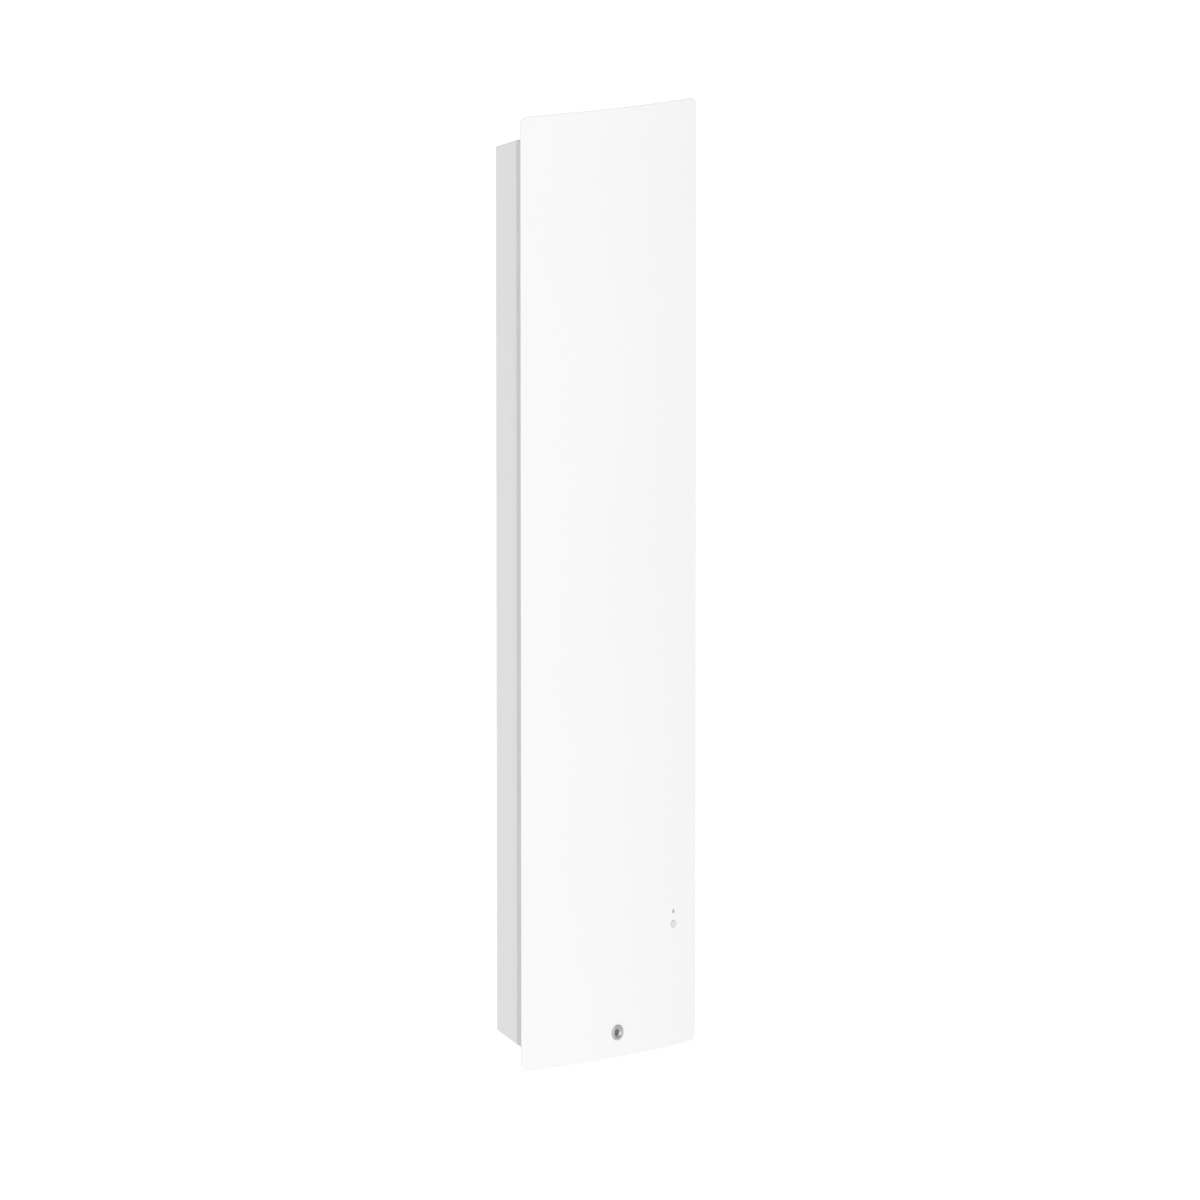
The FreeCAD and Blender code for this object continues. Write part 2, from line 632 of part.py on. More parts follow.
def service_bay():
    back = "-wall_gap - tray_sheet"
    body_front = f"{back} - 38"
    case = fuse(
        block(("5", "75"), (f"{back} - 30", back), ("-555", "-485")),
        block(("9", "71"), (body_front, f"{back} - 30"), ("-551", "-489")),
        rod("Y", "40", f"{body_front} - 3", "-520", "22", "3"),
    )
    piece(cut(case, rod("Y", "40", f"{body_front} - 5", "-520", "4.06", "20")), "isolator_body")
    shaft = rod("Y", "40", f"{body_front} - 15", "-520", "4", "28")
    piece(shaft, "isolator_shaft")

    handle = body("isolator_handle")
    disc = sketch(handle, "XZ_Plane", f"-({body_front}) + 3.4", circles=[("40", "-520", "18")])
    pad(handle, disc, "6")
    grip = sketch(handle, "XZ_Plane", f"-({body_front}) + 9.4", [rectangle(("34", "46"), ("-537", "-503"))])
    bar = pad(handle, grip, "12")
    handle.Tip = round_edges(handle, bar, "2", at_depth(f"-({body_front}) + 21.4"))
    sink(handle, sketch(handle, "XZ_Plane", f"-({body_front}) + 3.4", circles=[("40", "-520", "4.02")]), "12",
         reverse=True)

    terminals = block(("-125", "-45"), (f"{back} - 28", back), ("-525", "-485"))
    rebates = [block((f"{x} - 14", f"{x} + 14"), (f"{back} - 30", f"{back} - 22"), ("-518", "-492"))
               for x in (-105, -65)]
    holes = [rod("Y", f"{x}", f"{back} - 30", "-505", "4.02", "24") for x in (-105, -65)]
    piece(cut(terminals, *rebates, *holes), "terminal_block")
    bolt = fuse(
        hexagon("Y", "0", "-6", "0", "13", "5.3"),
        rod("Y", "0", "-0.8", "0", "8", "0.8"),
        rod("Y", "0", "0", "0", "4", "14"),
    )
    seat = number(f"{back} - 22")
    copies("terminal_bolts", bolt, [(-105, seat, -505), (-65, seat, -505)])

    guard = block(("-125", "-45"), (f"{back} - 44", f"{back} - 28"), ("-525", "-485"))
    hollow = block(("-123.5", "-46.5"), (f"{back} - 42.5", f"{back} - 20"), ("-530", "-486.5"))
    piece(cut(guard, hollow), "terminal_guard")

    ports = block(("88", "140"), (f"{back} - 26", back), ("-568", "-544"))
    deep = (f"{back} - 30", f"{back} - 9")
    sockets = [block((f"{x}", f"{x} + 14"), deep, ("-562", "-550")) for x in (94, 120)]
    piece(cut(ports, *sockets), "communication_ports")

    seat = number(back)
    stud = fuse(
        rod("Y", "-135", f"{back} - 2", "-565", "7", "2"),
        rod("Y", "-135", f"{back} - 12.5", "-565", "4", "12.5"),
        cone("Y", "-135", f"{back} - 14", "-565", "3", "4", "1.5"),
        rod("Y", "-135", f"{back} - 24", "-565", "3", "24"),
    )
    piece(stud, "earth_stud")
    nut = cut(hexagon("Y", "0", "-4.5", "0", "13", "4.5"), rod("Y", "0", "-6", "0", "4.02", "8"))
    copies("earth_nuts", nut, [(-135, seat - 2, -565), (-135, seat - 7.5, -565)])


# ---- cable entry on the sloping foot of the tray


def on_the_foot(label, things, x="0"):
    """Pieces drawn upright on a level foot, then tilted onto the tray's foot."""
    whole = things[0] if len(things) == 1 else group(things)
    whole.Placement = FreeCAD.Placement(V(), Turn(LONG["X"], 1))
    height = f"-back_rise - {FOOT_SLOPE} * (gland_depth - wall_gap)"
    bind(whole, Placement__Base__x=x, Placement__Base__y="-gland_depth", Placement__Base__z=height)
    bind(whole, Placement__Rotation__Angle=f"atan({FOOT_SLOPE})")
    return piece(whole, label)


def cable_entry():
    """Glands are (x, thread radius, across flats, bore radius)."""
    half = "15"
    seal = block(("-112", "72"), (f"-{half}", half), ("-1.5", "0"))
    way = block(("-104", "64"), ("-12.8", "12.8"), ("-3", "1"))
    bores = [rod("Z", x, y, "-5", "2", "8") for x, y in GLAND_PLATE_HOLES]
    on_the_foot("gland_plate_seal", [cut(seal, way, *bores)])
    plate = block(("-112", "72"), (f"-{half}", half), ("-3.5", "-1.5"))
    holes = [rod("Z", x, "0", "-5", f"{thread} + 0.2", "8") for x, thread, _, _ in GLANDS]
    more = [rod("Z", x, y, "-5", "2", "8") for x, y in GLAND_PLATE_HOLES]
    on_the_foot("gland_plate", [cut(plate, *holes, *more)])
    bodies, nuts, inserts, locks = [], [], [], []
    for x, thread, flats, bore in GLANDS:
        stem = fuse(
            rod("Z", x, "0", "-3.5", thread, "14"),
            hexagon("Z", x, "0", "-11.5", flats, "8"),
            rod("Z", x, "0", "-19", f"{bore} + 2.4", "7.6"),
        )
        bodies.append(cut(stem, rod("Z", x, "0", "-25", bore, "60")))
        dome = fuse(
            hexagon("Z", x, "0", "-24", f"{flats} - 1", "12.2"),
            cone("Z", x, "0", "-30", f"{bore} + 2", f"{flats} / 2 - 0.6", "6"),
        )
        nuts.append(
            cut(dome, rod("Z", x, "0", "-24", f"{bore} + 2.45", "13"), rod("Z", x, "0", "-31", bore, "8"))
        )
        ring = rod("Z", x, "0", "-23", f"{bore} - 0.02", "12")
        inserts.append(cut(ring, rod("Z", x, "0", "-24", f"{bore} - 1.5", "14")))
        lock = hexagon("Z", x, "0", "2.4", f"{flats} + 2", "4.5")
        locks.append(cut(lock, rod("Z", x, "0", "2", f"{thread} + 0.02", "6")))
    on_the_foot("cable_glands", bodies)
    on_the_foot("gland_dome_nuts", nuts)
    on_the_foot("gland_inserts", inserts)
    on_the_foot("gland_lock_nuts", locks)
    vent = fuse(
        rod("Z", "110", "0", "-0.8", "9.5", "0.8"),
        hexagon("Z", "110", "0", "-5", "16", "4.2"),
        rod("Z", "110", "0", "-7", "6.5", "2"),
        rod("Z", "110", "0", "0", "5.9", "7"),
    )
    on_the_foot("breather_vent", [vent])


# ---- hinges


def hinges():
    blocks, pins, clips = [], [], []
    for side in ("-", ""):
        x = f"{side}hinge_reach"
        base = block((f"{x} - 22", f"{x} + 22"), ("-frame_front - 2", "-frame_front"), ("612", "632"))
        ears = []
        for near in ("9.4", "-11.9"):
            span = (f"{x} + {near}", f"{x} + {near} + 2.5")
            ears.append(block(span, ("-hinge_depth - 3", "-frame_front"), ("614", "hinge_rise")))
            ears.append(rod("X", span[0], "-hinge_depth", "hinge_rise", "6.5", "2.5"))
        bore = rod("X", f"{x} - 20", "-hinge_depth", "hinge_rise", "pin_radius + 0.02", "40")
        screw_ways = [rod("Y", hole, "-frame_front - 5", z, "2", "10") for hole, z in HINGE_HOLES]
        blocks.append(cut(fuse(base, *ears), bore, *screw_ways))
        pins.append(
            fuse(
                rod("X", f"{x} - 12", "-hinge_depth", "hinge_rise", "pin_radius", "26.5"),
                rod("X", f"{x} - 13.6", "-hinge_depth", "hinge_rise", "pin_radius + 1.6", "1.6"),
            )
        )
        ring = rod("X", f"{x} + 12.4", "-hinge_depth", "hinge_rise", "pin_radius + 2", "0.8")
        clips.append(cut(ring, rod("X", f"{x} + 12", "-hinge_depth", "hinge_rise", "pin_radius + 0.01", "2")))
    piece(group(blocks), "hinge_brackets")
    piece(group(pins), "hinge_pins")
    piece(group(clips), "hinge_pin_clips")
    cushion = fuse(rod("Y", "0", "-11.5", "0", "5", "11.5"), rod("Y", "0", "-2", "0", "7", "2"))
    face = -number("frame_front")
    copies("cover_buffers", cushion, [(x, face, -612) for x in (-130, 130)])


# ---- cover


def panel_arc(depth, half):
    """The room side of the bow, or a surface behind it, as a cylinder about an upright axis."""
    thing = doc.addObject("Part::Cylinder", "bow")
    bind(thing, Radius=f"{BOW_RADIUS} - {depth}", Height=f"2 * {half}")
    return move(thing, "0", BOW_CENTRE, f"-{half}")


def against_panel(x, y, z):
    """A box cut to the back of the panel."""
    return common(block(x, y, z), panel_arc("cover_sheet - bond_gap", "cover_height"))


def band(x, z):
    """A strip of sheet that follows the back of the panel."""
    solid = against_panel(x, ("-cover_edge - cover_bow", "-frame_front"), z)
    return cut(solid, panel_arc("cover_sheet - bond_gap - stack_sheet", "cover_height"))


def cover_panel():
    panel = body("cover_panel")
    drawing = panel.newObject("Sketcher::SketchObject", "section")
    face = next(f for f in panel.Origin.OriginFeatures if f.Role == "XY_Plane")
    drawing.AttachmentSupport = [(face, "")]
    drawing.MapMode = "FlatFace"
    centre = number(BOW_CENTRE)
    half = number("cover_width") / 2
    ends = []
    for thickness in ("0", "cover_sheet"):
        radius = number(f"{BOW_RADIUS} - {thickness}")
        drop = math.asin(half / radius)
        circle = Part.Circle(V(0, centre, 0), V(0, 0, 1), radius)
        start, finish = -math.pi / 2 - drop, -math.pi / 2 + drop
        arc = drawing.addGeometry(Part.ArcOfCircle(circle, start, finish), False)
        rim = centre - radius * math.cos(drop)
        ends.append((arc, V(-half, rim, 0), V(half, rim, 0)))
        for rule, text in (("centre_x", "0"), ("centre_y", BOW_CENTRE)):
            kind = "DistanceX" if rule == "centre_x" else "DistanceY"
            index = drawing.addConstraint(Sketcher.Constraint(kind, -1, 1, arc, 3, number(text)))
            drawing.setExpression(f"Constraints[{index}]", bound(text))
        index = drawing.addConstraint(Sketcher.Constraint("Radius", arc, radius))
        drawing.setExpression(f"Constraints[{index}]", bound(f"{BOW_RADIUS} - {thickness}"))
        for point, text in ((1, "-cover_width / 2"), (2, "cover_width / 2")):
            index = drawing.addConstraint(Sketcher.Constraint("DistanceX", -1, 1, arc, point, number(text)))
            drawing.setExpression(f"Constraints[{index}]", bound(text))
    (front, *front_ends), (rear, *rear_ends) = ends
    for point, start, finish in zip((1, 2), front_ends, rear_ends):
        edge = drawing.addGeometry(Part.LineSegment(start, finish), False)
        drawing.addConstraint(Sketcher.Constraint("Coincident", edge, 1, front, point))
        drawing.addConstraint(Sketcher.Constraint("Coincident", edge, 2, rear, point))
    whole = pad(panel, drawing, "cover_height", both=True)
    round_edges(panel, whole, "cover_corner", runs_along("Y"))
    holes = [
        ("0", "lock_height", "lock_radius - 1.9"),
        ("button_side", "light_height", "2.65"),
        ("button_side", "button_height", "button_radius + 0.3"),
    ]
    pierced = pierce(panel, sketch(panel, "XZ_Plane", "cover_edge", circles=holes))
    bow = number(BOW_RADIUS)

    def front_outline(edge):
        ends = [math.hypot(vertex.X, vertex.Y - centre) for vertex in edge.Vertexes]
        return len(ends) == 2 and all(abs(end - bow) < 0.01 for end in ends)

    round_edges(panel, pierced, "cover_rim", front_outline)


def cover_stiffening():
    top = [
        band(("-140", "140"), ("634", "664")),
        against_panel(("-140", "140"), (f"-{APEX}", "-cover_edge - 1"), ("634", "634 + stack_sheet")),
    ]
    for side in ("-", ""):
        span = (f"{side}hinge_reach - 9", f"{side}hinge_reach + 9")
        top.append(against_panel(span, (f"-{APEX}", "-hinge_depth"), ("643", "653")))
        top.append(rod("X", span[0], "-hinge_depth", "hinge_rise", "6.5", "18"))
    pin_way = ("-hinge_depth", "hinge_rise", "pin_radius + running_gap", "40")
    bores = [rod("X", f"{side}hinge_reach - 20", *pin_way) for side in ("-", "")]
    piece(cut(fuse(*top), *bores), "cover_top_rail")
    foot = [
        band(("-140", "140"), ("-664", "-652")),
        against_panel(("-140", "140"), (f"-{APEX}", "-cover_edge - 1"), ("-652", "-652 + stack_sheet")),
    ]
    piece(fuse(*foot), "cover_bottom_rail")
    hats = []
    crown = "-cover_edge - 3"
    for near, far in sides("62", "86"):
        solid = against_panel((near, far), (f"-{APEX}", crown), ("-590", "600"))
        way = (f"{near} + stack_sheet", f"{far} - stack_sheet")
        hats.append(cut(solid, block(way, (f"-{APEX}", f"{crown} - stack_sheet"), ("-591", "601"))))
    piece(group(hats), "cover_stiffeners")


# ---- lock


def lock():
    """Quarter-turn lock: the barrel turns in its housing and swings the cam behind the keeper."""
    face, back = f"-{APEX} - 2", "-cover_edge"
    bore = "barrel_radius + running_gap"
    housing = [
        (face, "lock_radius - 2.8"), (face, "lock_radius - 1.6"), (f"{face} + 0.4", "lock_radius - 0.6"),
        (f"{face} + 1.1", "lock_radius"), (f"-{APEX}", "lock_radius"), (f"-{APEX}", "lock_radius - 2"),
        (back, "lock_radius - 2"), (back, bore), (f"{face} + 0.8", bore), (f"{face} + 0.3", f"{bore} + 0.5"),
    ]
    turned("lock_housing", "lock_height", housing)
    tapping = f"{back} - 4.5"
    barrel = [
        (f"{face} + key_well", "0"), (f"{face} + key_well", "4.2"), (f"{face} + 2.9", "4.2"),
        (f"{face} + 0.9", "barrel_radius - 0.5"), (f"{face} + 1.2", "barrel_radius"),
        (f"{back} + 1.5", "barrel_radius"), (f"{back} + 1.5", "2.02"), (tapping, "2.02"), (tapping, "0"),
    ]
    turned("lock_barrel", "lock_height", barrel)
    nut = hexagon("Y", "0", f"-{APEX} + cover_sheet + 0.2", "lock_height", "24", "5")
    piece(cut(nut, rod("Y", "0", f"-{APEX}", "lock_height", "lock_radius - 1.98", "12")), "lock_nut")
    arm = body("lock_cam")
    plate = [
        ("-7", "-6"), ("-7", "6"), ("20", "6"), ("26", "3"), ("26", "-3"), ("20", "-6"),
    ]
    pad(arm, sketch(arm, "XZ_Plane", "cover_edge - 3.5", [plate], [("0", "0", "2.02")]), "2")
    bind(arm, Placement__Base__z="lock_height")
    screw = cut(
        fuse(
            rod("Y", "0", "-cover_edge - 4", "lock_height", "2", "7.5"),
            rod("Y", "0", "-cover_edge + 3.5", "lock_height", "4", "2.4"),
        ),
        hexagon("Y", "0", "-cover_edge + 4.4", "lock_height", "3.2", "3"),
    )
    piece(screw, "cam_screw")
    keeper = fuse(
        block(("-16", "16"), ("-frame_front - 2", "-frame_front"), ("-604", "-590")),
        block(("-16", "16"), ("-frame_front - 9", "-frame_front"), ("-604", "-602")),
        block(("-16", "16"), ("-frame_front - 9", "-frame_front - 7"), ("-614", "-602")),
    )
    ways = [rod("Y", x, "-frame_front - 4", z, "2", "10") for x, z in KEEPER_HOLES]
    piece(cut(keeper, *ways), "lock_keeper")


# ---- screws


def case_screws():
    """One kind of socket pan-head screw holds the lid, hinges, keeper, controls and gland plate."""
    master = pan_screw(*SCREW)
    doc.recompute()
    bracket = -number("frame_front + 2")
    places = [(number(x), -number(LID_FACE), number(z)) for x, z in LID_HOLES]
    places += [(number(x), bracket, number(z)) for x, z in HINGE_HOLES + KEEPER_HOLES + CONTROL_HOLES]
    screws = [master.Shape.translated(V(*place)) for place in places]
    doc.recompute()
    slope = number(FOOT_SLOPE)
    depth = number("gland_depth")
    foot = V(0, -depth, -number("back_rise") - slope * (depth - number("wall_gap")))
    onto_foot = FreeCAD.Placement(foot, Turn(LONG["X"], math.degrees(math.atan(slope))))
    for x, y in GLAND_PLATE_HOLES:
        upright = FreeCAD.Placement(V(float(x), float(y), -3.5), Turn(LONG["Y"], LONG["Z"]))
        screws.append(master.Shape.transformed((onto_foot * upright).Matrix))
    fixed("case_screws", Part.makeCompound(screws))


# ---- button and status light


def controls():
    x, top, foot = "button_side", "light_height + 19", "button_height - 21"
    face = "-housing_front"
    ear = (f"{foot} + 20", f"{foot} + 38")
    shell = fuse(
        block((f"{x} - 20", f"{x} + 20"), (face, f"{face} + 22"), (foot, top)),
        block((f"{x} + 20", f"{x} + 34"), ("-frame_front - 2", "-frame_front"), ear),
    )
    inside = (f"{foot} + 1.5", f"{top} - 1.5")
    hollow = block((f"{x} - 18.5", f"{x} + 18.5"), (f"{face} + 1.5", f"{face} + 30"), inside)
    ways = [
        rod("Y", x, f"{face} - 5", "button_height", "button_radius + 0.35", "10"),
        rod("Y", x, f"{face} - 5", "light_height", "2.32", "10"),
        rod("Z", x, "-60", f"{top} - 3", "1.62", "5"),
        *[rod("Y", hole, "-frame_front - 5", rise, "2", "10") for hole, rise in CONTROL_HOLES],
    ]
    piece(cut(shell, hollow, *ways), "control_housing")
    board = (f"{face} + 14", f"{face} + 15.6")
    switch = ("button_height - 3", "button_height + 3")
    populated = fuse(
        block((f"{x} - 18", f"{x} + 18"), board, (f"{foot} + 2", f"{top} - 8")),
        block((f"{x} - 3", f"{x} + 3"), (f"{board[0]} - 3.4", board[0]), switch),
        rod("Y", x, f"{board[0]} - 6.6", "button_height", "1.75", "3.4"),
        rod("Y", x, f"{board[0]} - 3", "light_height", "2.4", "3"),
    )
    piece(populated, "control_board")
    tip, end = "-light_front", f"{board[0]} - 3.3"
    lens = [(tip, "0"), (tip, "1.7"), (f"{tip} + 0.6", "2.3"), (end, "2.3"), (end, "0")]
    turned("light_pipe", "light_height", lens, x)
    cap = [
        ("-button_front", "0"), ("-button_front", "button_radius"),
        (f"{face} + 1.8", "button_radius"), (f"{face} + 1.8", "6.5"), (f"{face} + 3", "6.5"),
        (f"{face} + 3", "2"), (f"{board[0]} - 8.4", "2"), (f"{board[0]} - 8.4", "0"),
    ]
    button = turned("button_cap", "button_height", cap, x)
    round_edges(button, button.Tip, "1.6", at_depth("button_front"))
    start, end = number(f"{face} + 3.4"), number(f"{board[0]} - 0.4")
    fixed("button_spring", coil(number(x), number("button_height"), (start, end), 5.2, 5, 0.3))


# ---- build, check and write


def main():
    wall_brackets()
    rear_tray()
    front_frame()
    compartment()
    battery()
    electronics()
    service_bay()
    cable_entry()
    hinges()
    cover_panel()
    cover_stiffening()
    lock()
    controls()
    case_screws()
    doc.recompute()
    for thing in doc.Objects:
        assert not {"Invalid", "Error"} & set(thing.State), f"{thing.Label}: {thing.State}"
    for thing in PIECES:
        assert not thing.Shape.isNull() and thing.Shape.isValid() and thing.Shape.Solids, thing.Label
    os.makedirs("parts", exist_ok=True)
    for thing in PIECES:
        thing.Shape.exportStep(f"parts/{thing.Label}.step")
    print(len(PIECES), "pieces")


main()
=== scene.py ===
import json
import math

import bmesh
import bpy
from mathutils import Matrix, Vector


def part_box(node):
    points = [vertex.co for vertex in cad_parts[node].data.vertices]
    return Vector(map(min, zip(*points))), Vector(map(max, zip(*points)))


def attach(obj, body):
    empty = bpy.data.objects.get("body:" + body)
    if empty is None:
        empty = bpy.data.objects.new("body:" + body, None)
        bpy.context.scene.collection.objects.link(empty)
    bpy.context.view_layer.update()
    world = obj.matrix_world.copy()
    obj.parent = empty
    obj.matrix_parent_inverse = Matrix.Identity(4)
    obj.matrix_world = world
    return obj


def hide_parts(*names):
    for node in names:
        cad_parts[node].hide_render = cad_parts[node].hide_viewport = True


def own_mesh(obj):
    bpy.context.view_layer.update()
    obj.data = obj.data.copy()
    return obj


# Wall battery unit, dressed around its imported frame. +Z is up, +Y goes into the wall, and the room is on
# the -Y side. Blender works in metres, and everything here is written in millimetres and scaled by MM.

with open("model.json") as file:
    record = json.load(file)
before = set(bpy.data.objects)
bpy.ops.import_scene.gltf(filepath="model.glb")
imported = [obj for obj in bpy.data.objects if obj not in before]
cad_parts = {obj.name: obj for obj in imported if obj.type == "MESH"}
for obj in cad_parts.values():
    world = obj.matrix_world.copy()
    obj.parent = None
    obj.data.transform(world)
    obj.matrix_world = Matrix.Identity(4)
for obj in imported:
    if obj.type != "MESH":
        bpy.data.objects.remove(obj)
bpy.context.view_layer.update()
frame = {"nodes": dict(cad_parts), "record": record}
NODES = frame["nodes"]
MM = 0.001
USUAL_VALUES = (0.3, 0.7)


# ---- places read from the frame, in millimetres


def low_of(node):
    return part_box(node)[0] / MM


def high_of(node):
    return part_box(node)[1] / MM


def middle(node):
    return (low_of(node) + high_of(node)) / 2


# ---- materials


class Finish:
    """A node material with one Principled shader. Patterns are laid out in millimetres, and USUAL_VALUES
    is where most values of a pattern lie. The shader rounds the edges by a radius."""

    def __init__(self, name, colour, roughness, metallic=0.0, edge=0.4):
        self.material = bpy.data.materials.new(name)
        self.material.use_nodes = True
        self.tree = self.material.node_tree
        self.shader = self.tree.nodes["Principled BSDF"]
        self.colour = colour
        self.set("Base Color", (*colour, 1))
        self.set("Roughness", roughness)
        self.set("Metallic", metallic)
        self.place = self.tree.nodes.new("ShaderNodeTexCoord").outputs["Object"]
        self.relief = self.rounded(edge)

    def set(self, socket, value):
        self.shader.inputs[socket].default_value = value
        return self

    def rounded(self, edge):
        """The normal over rounded edges, or None where the edges stay sharp."""
        if not edge:
            return None
        bevel = self.node("ShaderNodeBevel", Radius=edge * MM)
        bevel.samples = 4
        self.link(bevel.outputs["Normal"], self.shader.inputs["Normal"])
        return bevel.outputs["Normal"]

    def node(self, kind, **inputs):
        """A new node with some of its inputs set. A name's _ stands for a space."""
        node = self.tree.nodes.new(kind)
        for name, value in inputs.items():
            node.inputs[name.replace("_", " ")].default_value = value
        return node

    def link(self, start, end):
        self.tree.links.new(start, end)
        return self

    def mapped(self, **change):
        """The object's coordinates after a change of scale or rotation."""
        mapping = self.node("ShaderNodeMapping", **change)
        self.link(self.place, mapping.inputs["Vector"])
        return mapping.outputs["Vector"]

    def noise(self, size, detail=3.0, stretch=(1, 1, 1)):
        """Noise whose features are about that size across, from 0 to 1."""
        noise = self.node("ShaderNodeTexNoise", Scale=1 / (size * MM), Detail=detail)
        self.link(self.mapped(Scale=stretch), noise.inputs["Vector"])
        return noise.outputs["Fac"]

    def flakes(self, size):
        """Crystal-like cells of about that size: a random value for each."""
        cells = self.node("ShaderNodeTexVoronoi", Scale=1 / (size * MM))
        self.link(self.place, cells.inputs["Vector"])
        return cells.outputs["Color"]

    def vary_colour(self, source, change):
        """Mixes towards the colour times change where the pattern is high."""
        changed = [min(1.0, part * factor) for part, factor in zip(self.colour, change)]
        ramp = self.tree.nodes.new("ShaderNodeValToRGB")
        ends = ramp.color_ramp.elements
        ends[0].position, ends[1].position = USUAL_VALUES
        ends[0].color = (*self.colour, 1)
        ends[1].color = (*changed, 1)
        self.link(source, ramp.inputs["Fac"])
        self.link(ramp.outputs["Color"], self.shader.inputs["Base Color"])
        return self

    def vary_roughness(self, source, low, high):
        """Spreads the roughness from low to high over the pattern."""
        start, end = USUAL_VALUES
        spread = self.node("ShaderNodeMapRange", From_Min=start, From_Max=end, To_Min=low, To_Max=high)
        self.link(source, spread.inputs["Value"])
        return self.link(spread.outputs["Result"], self.shader.inputs["Roughness"])

    def raise_by(self, source, height):
        """Adds a relief of that height."""
        bump = self.node("ShaderNodeBump", Strength=1.0, Distance=height * MM)
        self.link(source, bump.inputs["Height"])
        if self.relief is not None:
            self.link(self.relief, bump.inputs["Normal"])
        self.relief = bump.outputs["Normal"]
        self.link(self.relief, self.shader.inputs["Normal"])
        return self


def powder_coat(name, colour, roughness=0.42):
    """Sprayed polyester: faint orange peel, a fine grain and a soft gloss."""
    finish = Finish(name, colour, roughness)
    shade, gloss = finish.noise(250, detail=2), finish.noise(40)
    orange_peel, grain = finish.noise(3.5, detail=2), finish.noise(0.6, detail=1)
    finish.vary_colour(shade, (0.992, 0.992, 0.994))
    finish.vary_roughness(gloss, roughness - 0.03, roughness + 0.03)
    finish.raise_by(orange_peel, 0.03)
    finish.raise_by(grain, 0.008)
    return finish.set("Coat Weight", 0.15).set("Coat Roughness", 0.3).material


def galvanised(name):
    """Hot-dip galvanised sheet with its spangle."""
    finish = Finish(name, (0.60, 0.62, 0.64), 0.42, metallic=1.0)
    spangle, waves = finish.flakes(6), finish.noise(3)
    finish.vary_colour(spangle, (0.87, 0.88, 0.89))
    finish.vary_roughness(spangle, 0.38, 0.50)
    finish.raise_by(waves, 0.02)
    return finish.material


def plated(name, colour=(0.66, 0.67, 0.66), roughness=0.28):
    """Zinc-plated or drawn steel with fine drawing marks."""
    finish = Finish(name, colour, roughness, metallic=1.0)
    patches = finish.noise(8)
    streaks = finish.noise(1.2, detail=4, stretch=(1, 6, 6))
    drawing_marks = finish.noise(0.6, stretch=(1, 8, 8))
    finish.vary_colour(patches, (0.88, 0.88, 0.86))
    finish.vary_roughness(streaks, roughness - 0.08, roughness + 0.12)
    finish.raise_by(drawing_marks, 0.006)
    return finish.material


def satin_metal(name, colour, roughness):
    """Blasted and plated die casting."""
    finish = Finish(name, colour, roughness, metallic=1.0)
    patches, gloss, blasting = finish.noise(4), finish.noise(1.5), finish.noise(0.4, detail=2)
    finish.vary_colour(patches, (0.93, 0.93, 0.93))
    finish.vary_roughness(gloss, roughness - 0.05, roughness + 0.07)
    finish.raise_by(blasting, 0.005)
    return finish.material


def plastic(name, colour, roughness):
    """Moulded plastic with a spark-eroded grain."""
    finish = Finish(name, colour, roughness)
    shade, gloss, grain = finish.noise(50, detail=2), finish.noise(6), finish.noise(0.7, detail=2)
    finish.vary_colour(shade, (0.96, 0.96, 0.96))
    finish.vary_roughness(gloss, roughness - 0.05, roughness + 0.06)
    finish.raise_by(grain, 0.01)
    return finish.set("IOR", 1.5).material


def rubber(name):
    """Matt rubber with a moulded grain."""
    finish = Finish(name, (0.022, 0.022, 0.024), 0.75)
    patches, gloss, grain = finish.noise(10), finish.noise(4), finish.noise(0.8)
    finish.vary_colour(patches, (1.5, 1.5, 1.5))
    finish.vary_roughness(gloss, 0.66, 0.85)
    finish.raise_by(grain, 0.03)
    return finish.set("Sheen Weight", 0.1).material


def foam(name):
    """Closed-cell foam with its cells cut open."""
    finish = Finish(name, (0.075, 0.08, 0.09), 0.9)
    cells, pits = finish.flakes(1.2), finish.noise(1)
    finish.vary_colour(cells, (1.6, 1.6, 1.6))
    finish.raise_by(pits, 0.2)
    return finish.material


def copper(name):
    """Drawn copper, tarnished in patches."""
    finish = Finish(name, (0.78, 0.42, 0.27), 0.3, metallic=1.0)
    tarnish, gloss = finish.noise(12, detail=4), finish.noise(4, detail=4)
    drawing_marks = finish.noise(0.6, stretch=(6, 6, 1))
    finish.vary_colour(tarnish, (0.72, 0.66, 0.62))
    finish.vary_roughness(gloss, 0.22, 0.42)
    finish.raise_by(drawing_marks, 0.008)
    return finish.material


def circuit_board(name):
    """Solder mask over tracks that run up and across."""
    finish = Finish(name, (0.010, 0.085, 0.040), 0.35)
    brick, track = 6.25, 0.06
    pattern = finish.node("ShaderNodeTexBrick", Scale=1 / (brick * MM), Mortar_Size=track)
    for socket, grey in (("Color1", 0.2), ("Color2", 0.8), ("Mortar", 1)):
        pattern.inputs[socket].default_value = (grey, grey, grey, 1)
    finish.link(finish.mapped(Rotation=(math.pi / 2, 0, 0)), pattern.inputs["Vector"])
    tracks = pattern.outputs["Color"]
    finish.vary_colour(tracks, (1.6, 1.45, 1.5))
    finish.raise_by(tracks, 0.03)
    return finish.material


def clear_plastic(name):
    """Clear polycarbonate, faintly uneven."""
    finish = Finish(name, (0.93, 0.96, 0.97), 0.06)
    gloss, waves = finish.noise(10), finish.noise(20)
    finish.vary_roughness(gloss, 0.04, 0.1)
    finish.raise_by(waves, 0.02)
    return finish.set("Transmission Weight", 1.0).set("IOR", 1.49).material


def ceramic(name):
    """Glazed ceramic with fine specks."""
    finish = Finish(name, (0.78, 0.76, 0.71), 0.3)
    specks, grain = finish.noise(3), finish.noise(1)
    finish.vary_colour(specks, (0.95, 0.94, 0.92))
    finish.raise_by(grain, 0.01)
    return finish.set("Coat Weight", 0.3).material


